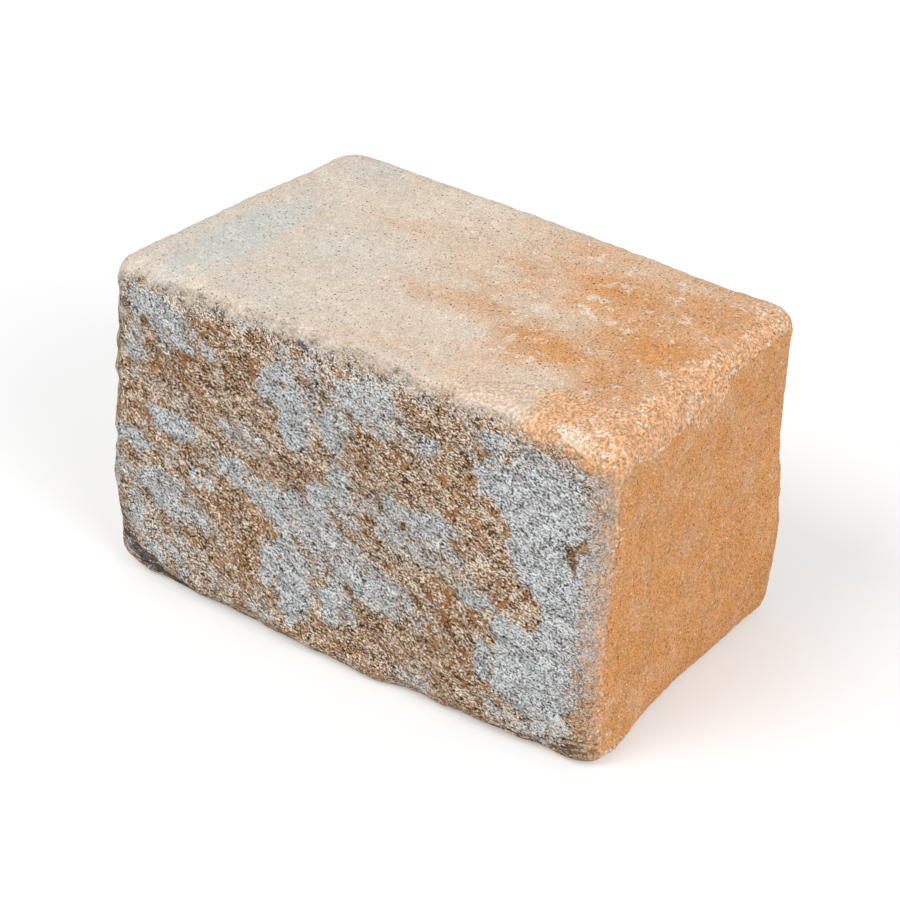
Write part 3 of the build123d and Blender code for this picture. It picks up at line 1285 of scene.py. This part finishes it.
@dataclass(frozen=True)
class BrokenGrain:
    """The broken face: brown speckle, pale lime, rusty grains, dark knobs, and painted shade in the cracks.
    """

    brown: Stops = (
        (0.0, (44, 22, 4)),
        (0.22, (100, 60, 20)),
        (0.36, (136, 92, 44)),
        (0.5, (164, 120, 66)),
        (0.64, (191, 151, 98)),
        (0.78, (214, 184, 144)),
        (1.0, (248, 236, 222)),
    )
    faded: Stops = (
        (0.0, (58, 46, 34)),
        (0.22, (114, 95, 75)),
        (0.36, (146, 127, 107)),
        (0.5, (176, 158, 137)),
        (0.64, (200, 184, 164)),
        (0.78, (224, 211, 195)),
        (1.0, (248, 242, 234)),
    )
    lime: Stops = (
        (0.0, (52, 44, 34)),
        (0.18, (112, 108, 102)),
        (0.3, (172, 172, 169)),
        (0.42, (201, 204, 203)),
        (0.6, (214, 218, 219)),
        (0.78, (227, 231, 233)),
        (1.0, (247, 250, 251)),
    )
    rust: Colour = (164, 104, 42)
    umber: Colour = (84, 54, 28)
    # painted shade: the dark of the cracks, of the foot and of the line under the upper arris
    crack_shade_colour: Colour = (44, 36, 30)
    shard_pitch: float = 0.36  # millimetres across the grain
    shard_swing: float = 1.75
    splinters: Speckle = Speckle(0.7, swing=0.95, detail=1.0)
    crumbs: Speckle = Speckle(1.4, swing=0.8)
    clumps: Speckle = Speckle(4.2, swing=1.8, detail=3.0, roughness=0.6)
    calm_span: Span = (0.2, 0.95)  # the speckle is calmer where little is broken
    calm_least: float = 0.6
    brown_level: float = 0.52  # place of the middle of the speckle between the brown's stops
    umber_shift: float = -0.3  # how far a dark stain moves it
    lime_level: float = 0.44
    lime_fine_share: float = 0.66
    lime_broad_share: float = 0.5
    clods: Speckle = Speckle(3.0, detail=5.0, roughness=0.7)
    crust_fray: Speckle = Speckle(10.0, swing=15.0, detail=5.0, roughness=0.65)
    crust_clod_swing: float = 12.0
    crust_span: Span = (-1.2, 1.2)  # millimetres inside a crust's rim
    haze_gaps: Speckle = Speckle(6.5, swing=3.0, detail=5.0, roughness=0.65)
    haze_clod_swing: float = 2.4
    haze_span: Span = (0.2, 1.05)
    haze_cover: float = 0.92
    bare_clod_span: Span = (0.26, 0.36)  # no lime lies on the lowest clods
    knob_clod_swing: float = 3.4
    knob_span: Span = (0.4, 1.0)
    knob_stain_span: Span = (0.3, 0.6)
    knob_cover: float = 0.4
    fading: Speckle = Speckle(10.0, swing=3.2, detail=5.0, roughness=0.6)
    fading_span: Span = (0.5, 1.5)
    gravel_pitch: float = 2.1
    rust_drifts: Speckle = Speckle(6.0, swing=1.6)
    rust_span: Span = (0.72, 0.95)
    rust_cover: float = 0.7
    # where the painted shade of the cracks lies, and how dark it is
    cracks: Speckle = Speckle(3.0, swing=3.2, detail=4.0)
    crack_shade_span: Span = (0.5, 0.95)
    crack_shade_cover: float = 0.85

    def colour(self, graph: NodeGraph, places: Places) -> Socket:
        """Colour the broken face.

        Args:
            graph: the material's nodes.
            places: where to read it.

        Returns:
            The colour.
        """
        fine, broad = self._speckle(graph, places)
        chalk = graph.total(
            self.lime_level,
            graph.product(fine, self.lime_fine_share),
            graph.product(broad, self.lime_broad_share),
        )
        clods = graph.noise(places.along, self.clods)
        knobs = self._knobs(graph, clods)
        lime = graph.product(self._lime(graph, places, clods), graph.math("SUBTRACT", 1.0, knobs))
        brown = self._brown(graph, places, graph.total(fine, broad))
        colour = graph.mix(lime, brown, graph.ramp(chalk, self.lime))
        colour = graph.mix(graph.product(knobs, self.knob_cover), colour, linear(self.umber))
        # Painted shade in the cracks, along the foot and under the upper arris
        crack_shading = graph.total(graph.mask(Mask.GRIME), graph.swung(places.level, self.cracks))
        cracks = graph.product(graph.window(crack_shading, self.crack_shade_span), self.crack_shade_cover)
        return graph.mix(cracks, colour, linear(self.crack_shade_colour))

    def _speckle(self, graph: NodeGraph, places: Places) -> tuple[Socket, Socket]:
        """Give the speckle of the break.

        Args:
            graph: the material's nodes.
            places: where to read it.

        Returns:
            The fine speckle and the broad one, each swinging about 0.
        """
        along = places.along
        shards = graph.about(graph.chance(graph.cells(along, self.shard_pitch)), self.shard_swing)
        fine = graph.total(shards, graph.swung(along, self.splinters))
        broad = graph.total(graph.swung(along, self.crumbs), graph.swung(along, self.clumps))
        calm = graph.at_least(self.calm_least, graph.window(graph.mask(Mask.SPLIT), self.calm_span))
        return graph.product(fine, calm), graph.product(broad, calm)

    def _lime(self, graph: NodeGraph, places: Places, clods: Socket) -> Socket:
        """Say where lime lies on the break, in crusts and as a haze.

        Args:
            graph: the material's nodes.
            places: where to read it.
            clods: noise that breaks up its edges.

        Returns:
            1 where the lime is thick.
        """
        inside = graph.total(
            graph.about(graph.mask(Mask.BLOOM), CRUST_SPAN),
            graph.swung(places.turned, self.crust_fray),
            graph.about(clods, self.crust_clod_swing),
        )
        dusted = graph.total(
            graph.mask(Mask.HAZE),
            graph.about(clods, self.haze_clod_swing),
            graph.swung(places.along, self.haze_gaps),
        )
        haze = graph.product(graph.window(dusted, self.haze_span), self.haze_cover)
        lime = graph.greatest(graph.window(inside, self.crust_span), haze)
        return graph.product(lime, graph.window(clods, self.bare_clod_span))

    def _knobs(self, graph: NodeGraph, clods: Socket) -> Socket:
        """Say where dark knobs stand in the brown stains.

        Args:
            graph: the material's nodes.
            clods: noise that breaks them up.

        Returns:
            1 on a knob.
        """
        umber = graph.mask(Mask.UMBER)
        stained = graph.window(graph.total(umber, graph.about(clods, self.knob_clod_swing)), self.knob_span)
        return graph.product(stained, graph.window(umber, self.knob_stain_span))

    def _brown(self, graph: NodeGraph, places: Places, speckle: Socket) -> Socket:
        """Colour the bare break: brown or faded, with rusty grains.

        Args:
            graph: the material's nodes.
            places: where to read it.
            speckle: the fine and the broad speckle together.

        Returns:
            The colour.
        """
        shift = graph.product(graph.mask(Mask.UMBER), self.umber_shift)
        grain = graph.total(self.brown_level, speckle, shift)
        gravel = graph.chance(graph.cells(places.turned, self.gravel_pitch))
        rusty = graph.window(graph.total(gravel, graph.swung(places.along, self.rust_drifts)), self.rust_span)
        brown = graph.ramp(grain, self.brown)
        rusted = graph.mix(graph.product(rusty, self.rust_cover), brown, linear(self.rust))
        faded = graph.total(graph.mask(Mask.FADED), graph.swung(places.turned, self.fading))
        return graph.mix(graph.window(faded, self.fading_span), rusted, graph.ramp(grain, self.faded))


@dataclass(frozen=True)
class FineRelief:
    """The grain that is too fine for the mesh."""

    skin: Speckle = Speckle(1.2, swing=0.5, roughness=0.7)
    worn: Speckle = Speckle(1.9, swing=1.0, detail=3.0, roughness=0.7)
    broken: Speckle = Speckle(1.2, swing=1.3, detail=3.0, roughness=0.7)
    height: float = 1.0  # millimetres
    strength: float = 0.9

    def normal(self, graph: NodeGraph, places: Places, split: Socket, wear: Socket) -> Socket:
        """Raise the grain.

        Args:
            graph: the material's nodes.
            places: where to read it.
            split: how much of a point is broken.
            wear: how much of a point is worn.

        Returns:
            The bumped normal.
        """
        skin = graph.product(graph.noise(places.turned, self.skin), self.skin.swing)
        worn = graph.product(graph.noise(places.turned, self.worn), wear, self.worn.swing)
        broken = graph.product(graph.noise(places.along, self.broken), split, self.broken.swing)
        settings = {
            "Height": graph.total(skin, worn, broken),
            "Distance": self.height * MM,
            "Strength": self.strength,
        }
        return graph.add("ShaderNodeBump", settings).outputs["Normal"]


@dataclass(frozen=True)
class BlendedConcrete:
    """Concrete coloured in the mass, with a sandy moulded skin and a speckled broken face."""

    name: str = "blended_concrete"
    skin: SandySkin = SandySkin()
    worn: WornGrain = WornGrain()
    broken: BrokenGrain = BrokenGrain()
    relief: FineRelief = FineRelief()
    heading: float = 26.0  # degrees that the broken grain falls to the right
    stretch: float = 2.6  # how much longer than wide its grains are
    tumble: Triple = (0.7, 0.4, 1.1)  # radians that the grains' cells are turned by
    layering: Triple = (0.3, 0.3, 1.7)  # how the painted shade of the cracks is drawn out level
    split_grain: Speckle = Speckle(2.2, swing=1.7, detail=5.0, roughness=0.75)
    split_span: Span = (0.15, 0.95)
    wear_grain: Speckle = Speckle(3.0, swing=0.9, detail=3.0)
    wear_span: Span = (0.4, 0.65)
    rough_patches: Speckle = Speckle(6.0, detail=4.0)
    roughness: tuple[float, float] = (0.82, 0.97)
    specular: float = 0.25

    def material(self) -> bpy.types.Material:
        """Write the finish as a material.

        Returns:
            The material.
        """
        material = bpy.data.materials.new(self.name)
        graph = NodeGraph(material)
        places = self._places(graph)
        grains = graph.total(graph.mask(Mask.SPLIT), graph.swung(places.along, self.split_grain))
        split = graph.window(grains, self.split_span)
        grains = graph.total(graph.mask(Mask.WEAR), graph.swung(places.turned, self.wear_grain))
        wear = graph.window(grains, self.wear_span)
        skin = self.skin.colour(graph, places)
        moulded = graph.mix(wear, skin, self.worn.colour(graph, places, skin))
        least, most = self.roughness
        patches = {"Value": graph.noise(places.turned, self.rough_patches), "To Min": least, "To Max": most}
        surface = {
            "Base Color": graph.mix(split, moulded, self.broken.colour(graph, places)),
            "Roughness": graph.add("ShaderNodeMapRange", patches).outputs[0],
            "Specular IOR Level": self.specular,
            "Normal": self.relief.normal(graph, places, split, wear),
        }
        shader = graph.add("ShaderNodeBsdfPrincipled", surface)
        graph.add("ShaderNodeOutputMaterial", {"Surface": shader.outputs["BSDF"]})
        return material

    def _places(self, graph: NodeGraph) -> Places:
        """Set up the axes that the finish is read along.

        Args:
            graph: the material's nodes.

        Returns:
            The place in all of them.
        """
        upright = graph.add("ShaderNodeTexCoord").outputs["Object"]
        with_grain = graph.mapped(upright, Rotation=(0.0, -radians(self.heading), 0.0))
        squeezed = graph.mapped(with_grain, Scale=(1.0 / self.stretch, 1.0, 1.0))
        return Places(
            upright=upright,
            turned=graph.mapped(upright, Rotation=self.tumble),
            along=graph.mapped(squeezed, Rotation=self.tumble),
            level=graph.mapped(upright, Scale=self.layering),
        )


@dataclass
class FenceBlock:
    """The block itself: one piece of pressed concrete, split along its front and tumbled."""

    node: str = "fence_block"
    slot: str = "tumbled_concrete"
    body: str = "root"
    piece_name: str = "block_of_concrete"
    map_name: str = "OFBake"
    face: SplitFace = field(default_factory=SplitFace)
    skin: MouldedSkin = field(default_factory=MouldedSkin)
    finish: BlendedConcrete = field(default_factory=BlendedConcrete)
    grid: WrappedGrid = field(default_factory=WrappedGrid)
    scars: tuple[Scar, ...] = (
        Scar(place=(138.0, 86.0, 52.0), reach=(30.0, 30.0, 70.0), depth=-4.2),
        Scar(place=(148.0, -66.0, 8.0), reach=(24.0, 34.0, 30.0), depth=-3.4),
        Scar(place=(146.0, 5.0, 4.0), reach=(16.0, 40.0, 14.0), depth=1.4),
        Scar(place=(95.0, 88.0, 172.0), reach=(70.0, 22.0, 18.0), depth=1.5),
        Scar(place=(136.0, 86.0, 171.0), reach=(15.0, 15.0, 14.0), depth=-1.8),
        Scar(place=(-132.0, 60.0, 172.0), reach=(22.0, 60.0, 20.0), depth=1.8),
        Scar(place=(-141.0, -84.0, 115.0), reach=(24.0, 24.0, 55.0), depth=-3.4),
        Scar(place=(-141.0, -80.0, 168.0), reach=(15.0, 15.0, 14.0), depth=-1.6),
        Scar(place=(-144.0, -84.0, 58.0), reach=(22.0, 22.0, 30.0), depth=-2.0),
        Scar(place=(-144.0, -80.0, 16.0), reach=(22.0, 30.0, 26.0), depth=2.4),
        Scar(place=(-62.0, -92.0, 2.0), reach=(68.0, 16.0, 12.0), depth=1.5),
        Scar(place=(25.0, -92.0, 4.0), reach=(30.0, 16.0, 14.0), depth=-2.8),
        Scar(place=(88.0, -90.0, 2.0), reach=(46.0, 18.0, 12.0), depth=1.6),
    )

    def build(self, solid: bpy.types.Object) -> bpy.types.Object:
        """Make the block's mesh over its solid, roughen it and dress it.

        Args:
            solid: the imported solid.

        Returns:
            The finished piece.
        """
        low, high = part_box(self.node)
        mesh = self.grid.lay(solid, low, high)
        points = self._read(mesh, "co")
        normals = self._read(mesh, "normal")
        masks = self._masks(points, normals)
        points = self._roughened(points, normals, masks)
        points = np.clip(points, np.array(low), np.array(high))
        mesh.vertices.foreach_set("co", points.astype(np.float32).ravel())
        mesh.polygons.foreach_set("use_smooth", np.ones(len(mesh.polygons), dtype=bool))
        for mask, values in masks.items():
            layer = mesh.attributes.new(mask.value, "FLOAT", "POINT")
            layer.data.foreach_set("value", values.astype(np.float32))
        self.grid.map_sides(mesh, self.map_name)
        mesh.materials.append(self.finish.material())
        mesh.update()
        piece = bpy.data.objects.new(self.piece_name, mesh)
        bpy.context.scene.collection.objects.link(piece)
        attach(piece, self.body)
        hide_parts(self.node)
        return piece

    @staticmethod
    def _read(mesh: bpy.types.Mesh, name: str) -> Points:
        """Read a vector of each of a mesh's vertices.

        Args:
            mesh: the mesh.
            name: name of the vector.

        Returns:
            One row for each vertex.
        """
        values = np.empty(3 * len(mesh.vertices), dtype=np.float32)
        mesh.vertices.foreach_get(name, values)
        return values.reshape(-1, 3).astype(float)

    def _masks(self, points: Points, normals: Points) -> dict[Mask, Field]:
        """Work out what the finish needs to know about each point.

        Args:
            points: points of the skin.
            normals: their outward directions.

        Returns:
            The masks.
        """
        return {
            Mask.SPLIT: self.face.share(points, normals),
            Mask.BLOOM: self.face.bloom(points),
            Mask.HAZE: self.face.haze(points),
            Mask.UMBER: self.face.umber(points),
            Mask.FADED: self.face.faded(points),
            # painted shade in the cracks, along the foot and under the upper arris
            Mask.GRIME: self.face.grime(points),
            Mask.PALE: self.skin.pale(points, normals),
            Mask.OCHRE: self.skin.ochre(points, normals),
            Mask.COOL: self.skin.cool(points, normals),
            Mask.WEAR: self.skin.wear(points, normals),
        }

    def _roughened(self, points: Points, normals: Points, masks: dict[Mask, Field]) -> Points:
        """Move the points in and out to the block's relief.

        Args:
            points: points of the even skin.
            normals: their outward directions.
            masks: what is known about each point.

        Returns:
            The moved points.
        """
        split = masks[Mask.SPLIT]
        broken = self.face.relief(points, masks[Mask.BLOOM])
        moulded = self.skin.relief(points, masks[Mask.WEAR])
        height = split * broken + (1.0 - split) * moulded
        height += sum(scar.push(points) for scar in self.scars)
        return points + normals * height[:, None]


@dataclass
class Studio:
    """A plain pale floor, soft light from above and from both sides, and the camera."""

    floor_size: float = 6.0
    floor_colour: Colour = (222, 222, 222)
    floor_lift: float = 0.32  # light that the floor shows to the camera, and lights nothing with
    sky_colour: Colour = (255, 255, 255)
    sky_level: float = 0.5
    key_level: float = 1.3
    key_turn: float = -24.0  # degrees round from the split face, to the right
    key_rise: float = 50.0  # degrees up
    fill_level: float = 1.15
    fill_turn: float = 72.0
    fill_rise: float = 32.0
    softness: float = 32.0  # degrees across, as the block sees each light
    camera_turn: float = 34.54  # degrees round from the split face, to the right
    camera_rise: float = 30.75  # degrees up
    camera_roll: float = 2.89  # degrees
    camera_distance: float = 1.593
    camera_shift: tuple[float, float] = (0.0004, -0.0052)  # right and up
    lens: float = 128.0  # millimetres on a sensor 36 mm wide

    @staticmethod
    def towards(turn: float, rise: float) -> Vector:
        """Give the direction from the block to a place round it and up from it.

        Args:
            turn: degrees round from the split face, to the right.
            rise: degrees up.

        Returns:
            The direction, with a length of 1.
        """
        round_, up = radians(turn), radians(rise)
        return Vector((sin(round_) * cos(up), -cos(round_) * cos(up), sin(up)))

    def build(self, middle: Vector) -> None:
        """Set up the floor, the light and the camera.

        Args:
            middle: the middle of the block's box.
        """
        self._floor()
        self._sky()
        self._lamp("key_light", self.key_level, self.towards(self.key_turn, self.key_rise))
        self._lamp("fill_light", self.fill_level, self.towards(self.fill_turn, self.fill_rise))
        self._camera(middle)
        bpy.context.scene.view_settings.view_transform = "Standard"

    def _floor(self) -> None:
        """Lay the floor, which looks white and still takes the block's shadow."""
        half = self.floor_size / 2.0
        mesh = bpy.data.meshes.new("studio_floor")
        corners = [(-half, -half, 0.0), (half, -half, 0.0), (half, half, 0.0), (-half, half, 0.0)]
        mesh.from_pydata(corners, [], [range(len(corners))])
        floor = bpy.data.objects.new("studio_floor", mesh)
        bpy.context.scene.collection.objects.link(floor)
        material = bpy.data.materials.new("studio_floor")
        graph = NodeGraph(material)
        diffuse = graph.add("ShaderNodeBsdfDiffuse", {"Color": linear(self.floor_colour)})
        rays = graph.add("ShaderNodeLightPath").outputs
        seen = graph.greatest(rays["Is Camera Ray"], rays["Is Glossy Ray"], rays["Is Transmission Ray"])
        lift = graph.add("ShaderNodeEmission", {"Strength": graph.product(seen, self.floor_lift)})
        both = graph.add("ShaderNodeAddShader")
        graph.feed(both.inputs[0], diffuse.outputs[0])
        graph.feed(both.inputs[1], lift.outputs[0])
        graph.add("ShaderNodeOutputMaterial", {"Surface": both.outputs[0]})
        mesh.materials.append(material)
        floor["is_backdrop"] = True

    def _sky(self) -> None:
        """Light the studio evenly from all round."""
        world = bpy.data.worlds.new("studio")
        world.use_nodes = True
        background = world.node_tree.nodes["Background"]
        background.inputs["Color"].default_value = linear(self.sky_colour)
        background.inputs["Strength"].default_value = self.sky_level
        bpy.context.scene.world = world

    def _lamp(self, name: str, level: float, direction: Vector) -> None:
        """Hang a broad lamp far off in one direction.

        Args:
            name: the lamp's name.
            level: its strength.
            direction: where it hangs, seen from the block.
        """
        light = bpy.data.lights.new(name, "SUN")
        light.energy = level
        light.angle = radians(self.softness)
        lamp = bpy.data.objects.new(name, light)
        lamp.rotation_euler = direction.to_track_quat("Z", "Y").to_euler()
        bpy.context.scene.collection.objects.link(lamp)

    def _camera(self, middle: Vector) -> None:
        """Stand the camera.

        Args:
            middle: the middle of the block's box.
        """
        back = self.towards(self.camera_turn, self.camera_rise)
        level = Vector((cos(radians(self.camera_turn)), sin(radians(self.camera_turn)), 0.0))
        upright = back.cross(level)
        roll = radians(self.camera_roll)
        right = cos(roll) * level + sin(roll) * upright
        up = cos(roll) * upright - sin(roll) * level
        camera = bpy.data.objects.new("camera", bpy.data.cameras.new("camera"))
        camera.data.lens = self.lens
        aside, above = self.camera_shift
        place = middle + right * aside + up * above + back * self.camera_distance
        turned = Matrix((right, up, back)).transposed().to_4x4()
        camera.matrix_world = Matrix.Translation(place) @ turned
        bpy.context.scene.collection.objects.link(camera)
        bpy.context.scene.camera = camera


def main() -> None:
    """Build the dressed block and its studio, and report each piece."""
    logging.basicConfig(level=logging.INFO, format="%(message)s")
    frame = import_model()
    cad_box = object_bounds()
    block = FenceBlock()
    piece = block.build(frame["nodes"][block.node])
    triangles = sum(len(face.vertices) - 2 for face in piece.data.polygons)
    LOG.info("%s: %d triangles", piece.name, triangles)
    Studio().build((cad_box[0] + cad_box[1]) / 2.0)
    LOG.info("studio: floor, light and camera")


if __name__ == "__main__":
    main()
